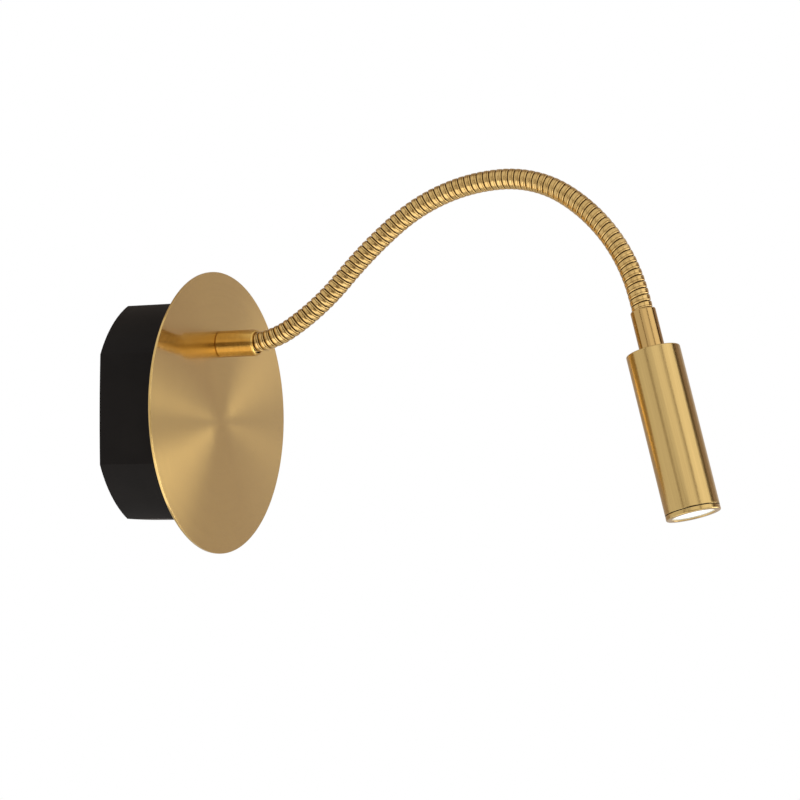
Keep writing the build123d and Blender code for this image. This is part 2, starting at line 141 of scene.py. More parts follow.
# Map of a turned piece: u runs round it and v along its outline, so that brushing can follow it
def wrapRound(piece, middleX=0.0, middleY=0.0):
    layer = piece.data.uv_layers.get("round") or piece.data.uv_layers.new(name="round")
    for face in piece.data.polygons:
        middle = atan2(face.center.y - middleY, face.center.x - middleX)
        for loop in face.loop_indices:
            spot = piece.data.vertices[piece.data.loops[loop].vertex_index].co
            away = hypot(spot.x - middleX, spot.y - middleY)
            angle = atan2(spot.y - middleY, spot.x - middleX) if away > turning["nearAxis"] * mm else middle
            angle += 2 * pi * round((middle - angle) / (2 * pi))
            layer.data[loop].uv = (angle / (2 * pi), (away + spot.z) * turning["mapScale"])


# Where the pieces sit: out of the wall, and along the head

outOfWall = Matrix.Rotation(radians(90), 4, "X")
neck = {
    "rootOut": 41.025, "rootHeight": 29.3, "lean": 4.4,
    "firstStraight": 4.975, "lastStraight": 7.975,
    "bends": [(37.1, 31.2), (107.1, 16.7), (191.5, -9.3), (75.9, -38.7), (49.4, -33.6), (76.0, -39.2),
              (194.8, -2.4)],                       # radius and turn
    "lengths": 13, "pitch": 2.68, "blendReach": 6.5,
    # a pair is for the root and for the head, and the change ends at evenFrom along the neck
    "bandWidth": 1.66, "bandTop": 4.25, "bandCrown": (0.1, 0.05), "evenFrom": 0.6,
    "crestWidth": (0.66, 0.74), "crestTop": (4.04, 4.18), "crestGap": (0.12, 0.05),
    "bandShoulder": (0.6, 0.38),                    # share of the half width, and of the crown
    # edges: inward and down the side; on the crest, inward, drop there and drop at the side
    "bandRootEdge": (0.24, 0.34), "bandHeadEdge": (0.05, 0.1),
    "crestRootEdge": (0.05, 0.02, 0.1), "crestHeadEdge": (0.2, 0.03, 0.3),
    "wireFoot": 3.4, "wireSteps": 40, "tubeRadius": 3.45, "tubeSides": 28, "tubeCuts": 15,
    "leadRadius": 1.1, "leadSides": 12, "routeSteps": 64, "smoothAngle": 50,
}
runs = [(neck["firstStraight"], 0)] + neck["bends"] + [(neck["lastStraight"], 0)]
lean = radians(neck["lean"])


def neckSpot(out, up):
    return Vector((up * sin(lean), -out, neck["rootHeight"] + up * cos(lean))) * mm


def neckCourse(heading):
    return Vector((sin(heading) * sin(lean), -cos(heading), sin(heading) * cos(lean)))


def runLength(size, turn):
    return abs(radians(turn)) * size if turn else size


# Where a straight or a bend leads, over all of it or a share
def alongRun(place, size, turn, share=1.0):
    out, up, heading = place
    if not turn:
        return out + share * size * cos(heading), up + share * size * sin(heading), heading
    bend = radians(turn) * share
    side = 1 if turn > 0 else -1
    return (out + side * size * (sin(heading + bend) - sin(heading)),
            up - side * size * (cos(heading + bend) - cos(heading)), heading + bend)


# The route's points with their headings and handle lengths, one at each end of a run
def neckRoute():
    place = neck["rootOut"], 0.0, 0.0
    stops = [[neckSpot(*place[:2]), place[2], 0, 0]]
    for size, turn in runs:
        place = alongRun(place, size, turn)
        reach = 4 / 3 * tan(abs(radians(turn)) / 4) * size if turn else size / 3
        stops[-1][3] = reach
        stops.append([neckSpot(*place[:2]), place[2], reach, 0])
    return stops


# Point on the route at a length along it
def routeAt(s):
    place = neck["rootOut"], 0.0, 0.0
    for size, turn in runs:
        length = runLength(size, turn)
        place = alongRun(place, size, turn, min(s / length, 1.0))
        s -= length
        if s <= 0:
            break
    return neckSpot(*place[:2])


stops = neckRoute()
neckLength = sum(runLength(size, turn) for size, turn in runs)
spacing = neckLength / neck["lengths"]
lastCourse = neckCourse(stops[-1][1])
headMouth = stops[-2][0]
sideways = Vector((cos(lean), 0, -sin(lean)))
headPlace = Matrix.Translation(headMouth) @ Matrix(
    (sideways, lastCourse.cross(sideways), lastCourse)).transposed().to_4x4()


# Finishes

def groupOf(name, inputs, outputs):
    group = bpy.data.node_groups.new(name, "ShaderNodeTree")
    for label, kind, value in inputs:
        socket = group.interface.new_socket(label, in_out="INPUT", socket_type=kind)
        if value is not None:
            socket.default_value = value
    for label, kind in outputs:
        group.interface.new_socket(label, in_out="OUTPUT", socket_type=kind)
    return group, group.nodes.new("NodeGroupInput"), group.nodes.new("NodeGroupOutput")


def addNode(tree, kind, **settings):
    node = tree.nodes.new(kind)
    for key, value in settings.items():
        setattr(node, key, value)
    return node


def mathNode(tree, operation, a, b=None):
    node = addNode(tree, "ShaderNodeMath", operation=operation)
    for socket, value in zip(node.inputs, (a, b)):
        if value is None:
            continue
        if isinstance(value, (int, float)):
            socket.default_value = value
        else:
            tree.links.new(value, socket)
    return node.outputs[0]


def noiseOf(tree, vector, scale, detail, rough):
    node = addNode(tree, "ShaderNodeTexNoise")
    tree.links.new(vector, node.inputs["Vector"])
    node.inputs["Scale"].default_value = scale
    node.inputs["Detail"].default_value = detail
    node.inputs["Roughness"].default_value = rough
    return node.outputs["Fac"]


def rampOf(tree, value, low, high):
    node = addNode(tree, "ShaderNodeMapRange", clamp=True)
    tree.links.new(value, node.inputs["Value"])
    node.inputs["From Min"].default_value = low
    node.inputs["From Max"].default_value = high
    return node.outputs["Result"]


# Distance from the Z axis, and the parts of the vector
def fromAxis(tree, vector):
    split = addNode(tree, "ShaderNodeSeparateXYZ")
    tree.links.new(vector, split.inputs[0])
    squareX = mathNode(tree, "MULTIPLY", split.outputs[0], split.outputs[0])
    squareY = mathNode(tree, "MULTIPLY", split.outputs[1], split.outputs[1])
    return mathNode(tree, "SQRT", mathNode(tree, "ADD", squareX, squareY)), split.outputs


# Values for all brushed brass; nearAxis, middle and bump are in metres
brushing = {
    "nearAxis": 0.0005, "middle": (0.001, 0.011), "fine": (0.32, 0.68), "broad": (0.3, 0.7),
    "tintShare": 0.35, "roughShares": (0.7, 0.3), "lacquerRough": 0.05, "bump": 0.00002,
}
cloudRange = (0.3, 0.7)

# Brush marks round an axis: rings across a face, or lines along a rod; the axis is Z of the vector it gets
brushMarks, marksIn, marksOut = groupOf(
    "brushMarks",
    [("Vector", "NodeSocketVector", None), ("Across", "NodeSocketFloat", 900.0),
     ("Round", "NodeSocketFloat", 2.0), ("Along", "NodeSocketFloat", 4.0)],
    [("Fine", "NodeSocketFloat"), ("Broad", "NodeSocketFloat"), ("Middle", "NodeSocketFloat")])
tree = brushMarks
away, parts = fromAxis(tree, marksIn.outputs["Vector"])
safe = mathNode(tree, "MAXIMUM", away, brushing["nearAxis"])
unitX = mathNode(tree, "DIVIDE", parts[0], safe)
unitY = mathNode(tree, "DIVIDE", parts[1], safe)
joined = addNode(tree, "ShaderNodeCombineXYZ")
ringPart = mathNode(tree, "MULTIPLY", away, marksIn.outputs["Across"])
alongPart = mathNode(tree, "MULTIPLY", parts[2], marksIn.outputs["Along"])
tree.links.new(mathNode(tree, "MULTIPLY", unitX, marksIn.outputs["Round"]), joined.inputs[0])
tree.links.new(mathNode(tree, "MULTIPLY", unitY, marksIn.outputs["Round"]), joined.inputs[1])
tree.links.new(mathNode(tree, "ADD", ringPart, alongPart), joined.inputs[2])
tree.links.new(noiseOf(tree, joined.outputs[0], scale=1.0, detail=3.0, rough=0.6), marksOut.inputs["Fine"])
tree.links.new(noiseOf(tree, joined.outputs[0], scale=0.13, detail=2.0, rough=0.5), marksOut.inputs["Broad"])
outside = rampOf(tree, away, *brushing["middle"])
tree.links.new(mathNode(tree, "SUBTRACT", 1.0, outside), marksOut.inputs["Middle"])

# Soft cloudiness and specks of handling, the same all over an object; specks are this much finer
speckTimes = 30.0
handling, handIn, handOut = groupOf(
    "handling",
    [("Vector", "NodeSocketVector", None), ("Size", "NodeSocketFloat", 60.0)],
    [("Cloud", "NodeSocketFloat"), ("Speck", "NodeSocketFloat")])
tree = handling
cloudNoise = addNode(tree, "ShaderNodeTexNoise")
tree.links.new(handIn.outputs["Vector"], cloudNoise.inputs["Vector"])
tree.links.new(handIn.outputs["Size"], cloudNoise.inputs["Scale"])
cloudNoise.inputs["Detail"].default_value = 3.0
tree.links.new(cloudNoise.outputs["Fac"], handOut.inputs["Cloud"])
fineSize = mathNode(tree, "MULTIPLY", handIn.outputs["Size"], speckTimes)
speckNoise = addNode(tree, "ShaderNodeTexNoise")
tree.links.new(handIn.outputs["Vector"], speckNoise.inputs["Vector"])
tree.links.new(fineSize, speckNoise.inputs["Scale"])
tree.links.new(speckNoise.outputs["Fac"], handOut.inputs["Speck"])


def newFinish(name):
    material = bpy.data.materials.new(name)
    material.use_nodes = True
    tree = material.node_tree
    tree.nodes.clear()
    shader = tree.nodes.new("ShaderNodeBsdfPrincipled")
    output = tree.nodes.new("ShaderNodeOutputMaterial")
    tree.links.new(shader.outputs[0], output.inputs[0])
    return material, tree, shader


def placed(tree, matrix=None):
    coords = addNode(tree, "ShaderNodeTexCoord")
    mapping = addNode(tree, "ShaderNodeMapping", vector_type="POINT")
    tree.links.new(coords.outputs["Object"], mapping.inputs["Vector"])
    if matrix:
        mapping.inputs["Location"].default_value = matrix.to_translation()
        mapping.inputs["Rotation"].default_value = matrix.to_euler("XYZ")
    return mapping.outputs[0]


def groupIn(tree, group, vector, **values):
    node = addNode(tree, "ShaderNodeGroup", node_tree=group)
    tree.links.new(vector, node.inputs["Vector"])
    for key, value in values.items():
        node.inputs[key].default_value = value
    return node.outputs


def mixColour(tree, mask, first, second):
    node = addNode(tree, "ShaderNodeMix", data_type="RGBA")
    tree.links.new(mask, node.inputs[0])
    for socket, value in ((node.inputs[6], first), (node.inputs[7], second)):
        if hasattr(value, "is_output"):
            tree.links.new(value, socket)
        else:
            socket.default_value = (*value, 1.0)
    return node.outputs[2]


def between(tree, mask, low, high):
    node = addNode(tree, "ShaderNodeMapRange", clamp=True)
    tree.links.new(mask, node.inputs["Value"])
    node.inputs["To Min"].default_value = low
    node.inputs["To Max"].default_value = high
    return node.outputs["Result"]


def bumpOf(tree, shader, height, strength, distance):
    node = addNode(tree, "ShaderNodeBump")
    node.inputs["Strength"].default_value = strength
    node.inputs["Distance"].default_value = distance
    tree.links.new(height, node.inputs["Height"])
    tree.links.new(node.outputs[0], shader.inputs["Normal"])


# Brass, brushed round its axis or along it
def brushedBrass(name, look, matrix):
    material, tree, shader = newFinish(name)
    vector = placed(tree, matrix)
    marks = groupIn(tree, brushMarks, vector, Across=look["across"], Round=look["round"], Along=look["along"])
    hand = groupIn(tree, handling, vector, Size=look["cloudSize"])
    fine = rampOf(tree, marks["Fine"], *brushing["fine"])
    colour = mixColour(tree, fine, look["dark"], look["light"])
    broad = rampOf(tree, marks["Broad"], *brushing["broad"])
    shade = mathNode(tree, "MULTIPLY", broad, brushing["tintShare"])
    tree.links.new(mixColour(tree, shade, colour, look["tint"]), shader.inputs["Base Color"])
    byMarks, byCloud = brushing["roughShares"]
    wear = mathNode(tree, "ADD", mathNode(tree, "MULTIPLY", fine, byMarks),
                    mathNode(tree, "MULTIPLY", hand["Cloud"], byCloud))
    rough = between(tree, wear, *look["rough"])
    if "calm" in look:              # the middle of a disc hardly moves under the brush
        rough = mathNode(tree, "SUBTRACT", rough, mathNode(tree, "MULTIPLY", marks["Middle"], look["calm"]))
    tree.links.new(rough, shader.inputs["Roughness"])
    shader.inputs["Metallic"].default_value = 1.0
    shader.inputs["Anisotropic"].default_value = look["stretch"]
    shader.inputs["Anisotropic Rotation"].default_value = look["turn"]
    shader.inputs["Coat Weight"].default_value = look.get("lacquer", 0.0)
    shader.inputs["Coat Roughness"].default_value = brushing["lacquerRough"]
    tangent = addNode(tree, "ShaderNodeTangent", direction_type="UV_MAP", uv_map="round")
    tree.links.new(tangent.outputs[0], shader.inputs["Tangent"])
    bumpOf(tree, shader, marks["Fine"], look["depth"], brushing["bump"])
    return material


plateLook = {
    "dark": (0.522, 0.342, 0.107), "light": (0.587, 0.39, 0.125), "tint": (0.553, 0.365, 0.115),
    "rough": (0.16, 0.18), "across": 6000.0, "round": 1.6, "along": 0.0, "cloudSize": 40.0,
    "stretch": 1.0, "turn": 0.25, "depth": 0.03, "calm": 0.09, "lacquer": 0.7,
    "brushDrop": 4.0,               # the brushing turns about a point this far below the middle
}
stubLook = {
    "dark": (0.56, 0.345, 0.093), "light": (0.64, 0.40, 0.11), "tint": (0.6, 0.37, 0.101),
    "rough": (0.17, 0.22), "across": 60.0, "round": 1.5, "along": 1800.0, "cloudSize": 120.0,
    "stretch": 0.95, "turn": 0.25, "depth": 0.02,
}
headLook = {
    "dark": (0.475, 0.325, 0.122), "light": (0.545, 0.38, 0.148), "tint": (0.51, 0.352, 0.135),
    "rough": (0.17, 0.21), "across": 0.0, "round": 26.0, "along": 22.0, "cloudSize": 60.0,
    "stretch": 0.5, "turn": 0.0, "depth": 0.06,
}
ferruleLook = dict(headLook, dark=(0.42, 0.265, 0.095), light=(0.52, 0.335, 0.125), tint=(0.47, 0.30, 0.11),
                   rough=(0.11, 0.15))
wallTurn = outOfWall.inverted()
headTurn = headPlace.inverted()
plateTurn = Matrix.Translation((0, plateLook["brushDrop"] * mm, 0)) @ wallTurn
stubTurn = Matrix.Translation((0, -neck["rootHeight"] * mm, 0)) @ wallTurn
plateBrass = brushedBrass("plateBrass", plateLook, plateTurn)
stubBrass = brushedBrass("stubBrass", stubLook, stubTurn)
headBrass = brushedBrass("headBrass", headLook, headTurn)
ferruleBrass = brushedBrass("ferruleBrass", ferruleLook, headTurn)

plainDefaults = {"cloudSize": 80.0, "vary": 0.25, "metal": 0.0, "gloss": 0.5, "depth": 0.1, "bump": 0.00003}


# Plain finishes that only differ in colour, gloss and grain
def plainFinish(name, look):
    look = dict(plainDefaults, **look)
    material, tree, shader = newFinish(name)
    hand = groupIn(tree, handling, placed(tree), Size=look["cloudSize"])
    cloud = rampOf(tree, hand["Cloud"], *cloudRange)
    light = tuple(min(1.0, c * (1 + look["vary"])) for c in look["colour"])
    tree.links.new(mixColour(tree, cloud, look["colour"], light), shader.inputs["Base Color"])
    tree.links.new(between(tree, hand["Speck"], *look["rough"]), shader.inputs["Roughness"])
    shader.inputs["Metallic"].default_value = look["metal"]
    shader.inputs["Specular IOR Level"].default_value = look["gloss"]
    bumpOf(tree, shader, hand["Speck"], look["depth"], look["bump"])
    return material


plainLooks = {
    "boxBlack": {"colour": (0.0075, 0.0062, 0.0055), "vary": 0.3, "rough": (0.42, 0.55), "gloss": 0.06,
                 "depth": 0.3},
    "screwBlack": {"colour": (0.015, 0.014, 0.014), "rough": (0.3, 0.42), "depth": 0.2},
    "zincSteel": {"colour": (0.52, 0.53, 0.54), "metal": 1.0, "rough": (0.28, 0.42), "vary": 0.15},
    # dark finish that stands in for shade: the neck's core seen between the windings, and the faces in the
    # head's groove
    "coreShadeDark": {"colour": (0.06, 0.038, 0.018), "metal": 0.6, "rough": (0.5, 0.65)},
    "screwBrass": {"colour": (0.55, 0.38, 0.16), "metal": 1.0, "rough": (0.25, 0.38)},
    "driverWhite": {"colour": (0.62, 0.62, 0.60), "vary": 0.06, "rough": (0.4, 0.52), "depth": 0.2},
    "boardGreen": {"colour": (0.02, 0.11, 0.045), "rough": (0.35, 0.5)},
    "terminalWhite": {"colour": (0.66, 0.65, 0.60), "vary": 0.06, "rough": (0.32, 0.42)},
    "leadBrown": {"colour": (0.10, 0.04, 0.016), "rough": (0.36, 0.46)},
    "leadBlue": {"colour": (0.015, 0.075, 0.33), "rough": (0.36, 0.46)},
    "leadWhite": {"colour": (0.6, 0.6, 0.58), "vary": 0.06, "rough": (0.36, 0.46)},
    "sealPale": {"colour": (0.5, 0.49, 0.45), "vary": 0.08, "rough": (0.5, 0.65)},
    "reflectorBright": {"colour": (0.85, 0.85, 0.84), "metal": 1.0, "rough": (0.06, 0.12), "vary": 0.05},
    "emitterYellow": {"colour": (0.75, 0.5, 0.07), "rough": (0.3, 0.4)},
    "boardWhite": {"colour": (0.72, 0.72, 0.70), "vary": 0.05, "rough": (0.3, 0.42)},
    "sinkAluminium": {"colour": (0.62, 0.63, 0.64), "metal": 1.0, "rough": (0.3, 0.45), "vary": 0.12},
}
finish = {name: plainFinish(name, look) for name, look in plainLooks.items()}

# Earth lead: green sleeve with a yellow stripe that winds along it
earthLook = {
    "green": (0.03, 0.22, 0.05), "yellow": (0.75, 0.6, 0.04), "stripeScale": 110.0,
    "stripeEdge": (0.62, 0.68), "rough": (0.34, 0.46), "cloudSize": 90.0,
}


def stripedLead():
    material, tree, shader = newFinish("leadGreen")
    vector = placed(tree)
    wave = addNode(tree, "ShaderNodeTexWave", wave_type="BANDS", bands_direction="DIAGONAL")
    tree.links.new(vector, wave.inputs["Vector"])
    wave.inputs["Scale"].default_value = earthLook["stripeScale"]
    stripe = rampOf(tree, wave.outputs["Fac"], *earthLook["stripeEdge"])
    colour = mixColour(tree, stripe, earthLook["green"], earthLook["yellow"])
    tree.links.new(colour, shader.inputs["Base Color"])
    hand = groupIn(tree, handling, vector, Size=earthLook["cloudSize"])
    tree.links.new(between(tree, hand["Speck"], *earthLook["rough"]), shader.inputs["Roughness"])
    return material


finish["leadGreen"] = stripedLead()

# Neck: bright on the bands' tops, with a dark brown painted shade in the grooves between them
neckLook = {
    "top": (0.51, 0.33, 0.118), "topLight": (0.62, 0.42, 0.165), "groove": (0.085, 0.042, 0.011),
    "rough": (0.18, 0.27), "grooveShadeAt": (3.86, 4.0), "cloudSize": 160.0, "depth": 0.2, "bump": 0.00002,
}


def woundBrass():
    material, tree, shader = newFinish("neckBrass")
    height = addNode(tree, "ShaderNodeAttribute", attribute_name="depth", attribute_type="GEOMETRY")
    hand = groupIn(tree, handling, placed(tree), Size=neckLook["cloudSize"])
    gold = mixColour(tree, rampOf(tree, hand["Cloud"], *cloudRange), neckLook["top"], neckLook["topLight"])
    lit = rampOf(tree, height.outputs["Fac"], *neckLook["grooveShadeAt"])
    # the groove colour is painted shade, laid in where the windings dip toward the core
    tree.links.new(mixColour(tree, lit, neckLook["groove"], gold), shader.inputs["Base Color"])
    tree.links.new(between(tree, hand["Speck"], *neckLook["rough"]), shader.inputs["Roughness"])
    shader.inputs["Metallic"].default_value = 1.0
    bumpOf(tree, shader, hand["Speck"], neckLook["depth"], neckLook["bump"])
    return material


finish["neckBrass"] = woundBrass()

# Lit lens: white, a little warmer and dimmer at its edge
lensLook = {
    "middle": (1.0, 0.99, 0.96), "edge": (0.86, 0.76, 0.52), "edgeAt": (0.0066, 0.0088), "glow": 0.8,
    "dark": (0.42, 0.42, 0.41), "light": (0.48, 0.48, 0.46), "rough": (0.25, 0.35), "cloudSize": 120.0,
}


def litLens():
    material, tree, shader = newFinish("lensGlow")
    vector = placed(tree, headTurn)
    edge = rampOf(tree, fromAxis(tree, vector)[0], *lensLook["edgeAt"])
    glow = mixColour(tree, edge, lensLook["middle"], lensLook["edge"])
    tree.links.new(glow, shader.inputs["Emission Color"])
    shader.inputs["Emission Strength"].default_value = lensLook["glow"]
    hand = groupIn(tree, handling, vector, Size=lensLook["cloudSize"])
    pale = mixColour(tree, hand["Cloud"], lensLook["dark"], lensLook["light"])
    tree.links.new(pale, shader.inputs["Base Color"])
    tree.links.new(between(tree, hand["Speck"], *lensLook["rough"]), shader.inputs["Roughness"])
    return material


finish["lensGlow"] = litLens()
print("finishes made")


def paint(piece, *materials):
    piece.data.materials.clear()
    for material in materials:
        piece.data.materials.append(material)


# Face plate: a thin disc, its front edge eased, with four welded studs behind
plate = {
    "radius": 60.0, "back": 31.4, "front": 32.4, "edge": 0.2,
    "rings": [0, 1, 2, 3, 4, 5, 6, 8, 11, 16, 24, 32, 40, 48, 54, 58], "moved": 56, "onFront": 0.01,
    "hole": 5.1, "cutDepth": 10.0,
    "studRadius": 1.5, "studLength": 8.0, "studEdge": 0.2, "studSunk": 0.02,
    "studs": [(30.0, 26.0), (-30.0, 26.0), (20.0, -38.5), (-20.0, -38.5)],
}


def makePlate():
    front, back, drop = plate["front"], plate["back"], plateLook["brushDrop"]
    outline = [(r, front) for r in plate["rings"]]
    outline += [(plate["radius"], front), (plate["radius"], back), (0, back)]
    piece = turnPiece("facePlate", outline, steps=192, edge=plate["edge"])
    mesh = editPiece(piece)
    for vert in mesh.verts:            # the front's rings close in on the point that the brushing turns about
        away = hypot(vert.co.x, vert.co.y) / mm
        if vert.co.z > (front - plate["onFront"]) * mm and away < plate["moved"]:
            vert.co.y -= drop * (1 - away / plate["moved"]) * mm
    bmesh.update_edit_mesh(piece.data)
    endEdit()
    bpy.ops.object.select_all(action="DESELECT")
    bpy.ops.mesh.primitive_cylinder_add(vertices=48, radius=plate["hole"] * mm, depth=plate["cutDepth"] * mm,
                                        location=(0, neck["rootHeight"] * mm, front * mm))
    cutter = bpy.context.object
    addModifier(piece, "BOOLEAN", object=cutter, operation="DIFFERENCE", solver="EXACT")
    bpy.data.objects.remove(cutter)
    wrapRound(piece, 0, -drop * mm)
    studs = []
    r, long = plate["studRadius"], plate["studLength"]
    for x, y in plate["studs"]:
        stud = turnPiece("stud", [(0, 0), (r, 0), (r, -long), (0, -long)], steps=24,
                         edge=plate["studEdge"], edgeSteps=2)
        placeBy(stud, Matrix.Translation(Vector((x, y, back + plate["studSunk"])) * mm))
        studs.append(stud)
    joinInto(piece, studs)
    placeBy(piece, outOfWall)
    paint(piece, plateBrass)
    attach(piece, "base")
    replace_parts(piece, "face_plate")


makePlate()
print("plate made")

# Base ferrule: a turned stub with a rounded mouth, its socket and its threaded tail
stub = {
    "radius": 5.7, "mouth": 50.0, "socketRadius": 4.55, "socketFloor": 40.0,
    "tailRadius": 4.9, "tailEnd": 21.4, "boreRadius": 2.2, "mouthRound": 0.7, "footEdge": 0.3, "edge": 0.08,
}


def makeStub():
    r, mouth, q, e = stub["radius"], stub["mouth"], stub["mouthRound"], stub["footEdge"]
    tail, bore, socket, foot = stub["tailRadius"], stub["boreRadius"], stub["socketRadius"], plate["front"]
    outline = [(bore, stub["tailEnd"]), (tail, stub["tailEnd"]), (tail, foot), (r - e, foot), (r, foot + e)]
    for angle in range(0, 91, 15):
        outline.append((r - q + q * cos(radians(angle)), mouth - q + q * sin(radians(angle))))
    outline += [(socket, mouth), (socket, stub["socketFloor"]), (bore, stub["socketFloor"])]
    piece = turnPiece("baseFerrule", outline, steps=96, edge=stub["edge"], edgeSteps=2)
    placeBy(piece, Matrix.Translation((0, 0, neck["rootHeight"] * mm)) @ outOfWall)
    paint(piece, stubBrass)
    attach(piece, "base")
    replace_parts(piece, "base_ferrule")


makeStub()
print("stub made")


# Neck: each length is wound straight along X, a wide wire and a narrow one, and then laid on the route

def makeRoute():
    bpy.ops.object.select_all(action="DESELECT")
    bpy.ops.curve.primitive_bezier_curve_add()
    route = bpy.context.object
    spline = route.data.splines[0]
    spline.bezier_points.add(len(stops) - 2)
    route.data.dimensions = "3D"
    route.data.twist_mode = "MINIMUM"
    route.data.resolution_u = neck["routeSteps"]
    for point, (spot, heading, back, ahead) in zip(spline.bezier_points, stops):
        course = neckCourse(heading) * mm
        point.handle_left_type = point.handle_right_type = "FREE"
        point.co = spot
        point.handle_left = spot - course * (back or ahead)
        point.handle_right = spot + course * (ahead or back)
    return route


def windWire(name, outline, start, end):
    turns = (end - start) / neck["pitch"]
    rounds = int(turns) + 1
    bpy.ops.object.select_all(action="DESELECT")
    bpy.ops.mesh.primitive_circle_add(vertices=len(outline), radius=mm)
    wire = bpy.context.object
    wire.name = wire.data.name = name
    mesh = editPiece(wire)
    mesh.verts.ensure_lookup_table()
    phase = 2 * pi * start / neck["pitch"]
    for vert, (along, radius) in zip(mesh.verts, outline):
        vert.co = Vector((start + along, radius * cos(phase), radius * sin(phase))) * mm
    bmesh.update_edit_mesh(wire.data)
    endEdit()
    addModifier(wire, "SCREW", axis="X", angle=2 * pi * turns / rounds, iterations=rounds,
                screw_offset=(end - start) / rounds * mm,
                steps=neck["wireSteps"], render_steps=neck["wireSteps"])
    mesh = editPiece(wire)
    for edge in mesh.edges:          # close the two cut ends
        if edge.is_boundary:
            edge.select = True
    bmesh.update_edit_mesh(wire.data)
    bpy.ops.mesh.select_mode(type="EDGE")
    bpy.ops.mesh.edge_face_add()
    bpy.ops.mesh.select_all(action="SELECT")
    bpy.ops.mesh.normals_make_consistent(inside=False)
    endEdit()
    return wire


def straightTube(name, radius, start, end, sides):
    bpy.ops.object.select_all(action="DESELECT")
    bpy.ops.mesh.primitive_cylinder_add(vertices=sides, radius=radius * mm, depth=(end - start) * mm,
                                        location=((start + end) / 2 * mm, 0, 0), rotation=(0, pi / 2, 0))
    tube = bpy.context.object
    tube.name = tube.data.name = name
    bpy.ops.object.transform_apply(location=True, rotation=True, scale=True)
    mesh = editPiece(tube)
    for edge in mesh.edges:
        edge.select = abs(edge.verts[0].co.x - edge.verts[1].co.x) > mm
    bmesh.update_edit_mesh(tube.data)
    bpy.ops.mesh.select_mode(type="EDGE")
    bpy.ops.mesh.subdivide(number_cuts=neck["tubeCuts"])
    endEdit()
    return tube


# Distance from the neck's middle line, which the finish reads to paint shade into the grooves
def markDepth(piece):
    layer = piece.data.attributes.new("depth", "FLOAT", "POINT")
    for vert, item in zip(piece.data.vertices, layer.data):
        item.value = hypot(vert.co.y, vert.co.z) / mm


# Outlines of the two wires, which change a little from the root on
def wireOutlines(share):
    crown, top, gap, width = (root + (end - root) * share for root, end in (
        neck["bandCrown"], neck["crestTop"], neck["crestGap"], neck["crestWidth"]))
    foot = neck["wireFoot"]
    w, t = neck["bandWidth"] / 2, neck["bandTop"]
    (rootIn, rootDown), (headIn, headDown) = neck["bandRootEdge"], neck["bandHeadEdge"]
    out, down = neck["bandShoulder"]
    side, shoulder = t - crown, t - down * crown
    band = [(-w, foot), (-w, side - rootDown), (-w + rootIn, side), (-w * out, shoulder), (0, t),
            (w * out, shoulder), (w - headIn, side), (w, side - headDown), (w, foot)]
    c = width / 2
    m = w + gap + c
    (rootIn, rootDrop, rootDown), (headIn, headDrop, headDown) = neck["crestRootEdge"], neck["crestHeadEdge"]
    crest = [(m - c, foot), (m - c, top - rootDown), (m - c + rootIn, top - rootDrop), (m, top),
             (m + c - headIn, top - headDrop), (m + c, top - headDown), (m + c, foot)]
    return band, crest


def makeNeck():
    route = makeRoute()
    last = neck["lengths"] - 2
    reach = neck["blendReach"]
    for k in range(neck["lengths"] - 1):
        start = 0.0 if k == 0 else (k + 0.5) * spacing
        end = neckLength if k == last else (k + 1.5) * spacing
        band, crest = wireOutlines(min(1.0, k / (last * neck["evenFrom"])))
        piece = windWire(f"neckWinding.{k:02d}", band, start, end)
        inner = windWire("crest", crest, start, end)
        # the core tube takes the dark finish, painted shade seen between the windings
        tube = straightTube("core", neck["tubeRadius"], start, end, neck["tubeSides"])
        lead = straightTube("lead", neck["leadRadius"], start, end, neck["leadSides"])
        for item, name in ((piece, "neckBrass"), (inner, "neckBrass"),
                           (tube, "coreShadeDark"), (lead, "leadWhite")):
            markDepth(item)
            paint(item, finish[name])
        joinInto(piece, [inner, tube, lead])
        addModifier(piece, "CURVE", object=route, deform_axis="POS_X")
        smoothBy(piece, neck["smoothAngle"])
        joint = (k + 1) * spacing
        routeAt(joint - reach)
        routeAt(joint + reach)
        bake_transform(piece)
        covers = [f"neck_winding_{k:02d}", f"neck_core_{k:02d}"]
        if k == last:
            covers += [f"neck_winding_{k + 1:02d}", f"neck_core_{k + 1:02d}"]
        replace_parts(piece, *covers)
    bpy.data.objects.remove(route)


makeNeck()
print("neck wound")

# Head, along its own axis from the mouth of its ferrule
head = {
    "ferruleRadius": 5.05, "ferruleLength": 17.0, "ferruleEdge": 0.5, "socketRadius": 4.55,
    "socketDepth": 9.0, "tailRadius": 3.9, "tailEnd": 25.5, "tailGap": 0.2, "boreRadius": 2.2,
    "radius": 10.75, "rear": 17.0, "front": 83.6, "rearEdge": 0.35, "rearWall": 3.0,
    "innerRadius": 9.25, "frontBore": 9.85, "stepAt": 54.1,
    "bezelHeight": 1.8, "groove": 0.35, "bezelEdge": 0.3, "opening": 8.6, "lip": 0.5,
    "sleeveRadius": 9.75, "sleeveBore": 9.15, "sleeveLength": 6.0,
    "lensRadius": 9.05, "lensRing": 4.0, "lensFront": 82.7, "lensBack": 80.7,
    "ferruleBevel": 0.08, "bodyBevel": 0.1, "bezelBevel": 0.08, "lensBevel": 0.15,
    "easing": 0.3,                  # how far inside its corner an eased edge passes, as a share of its size
    "nearGroove": 0.02,
}


# An outer edge eased by three points, from the end face to the side; toward is 1 or -1 along the axis
def easedEdge(radius, height, size, toward):
    part = head["easing"] * size
    return [(radius - size, height), (radius - part, height + toward * part),
            (radius, height + toward * size)]


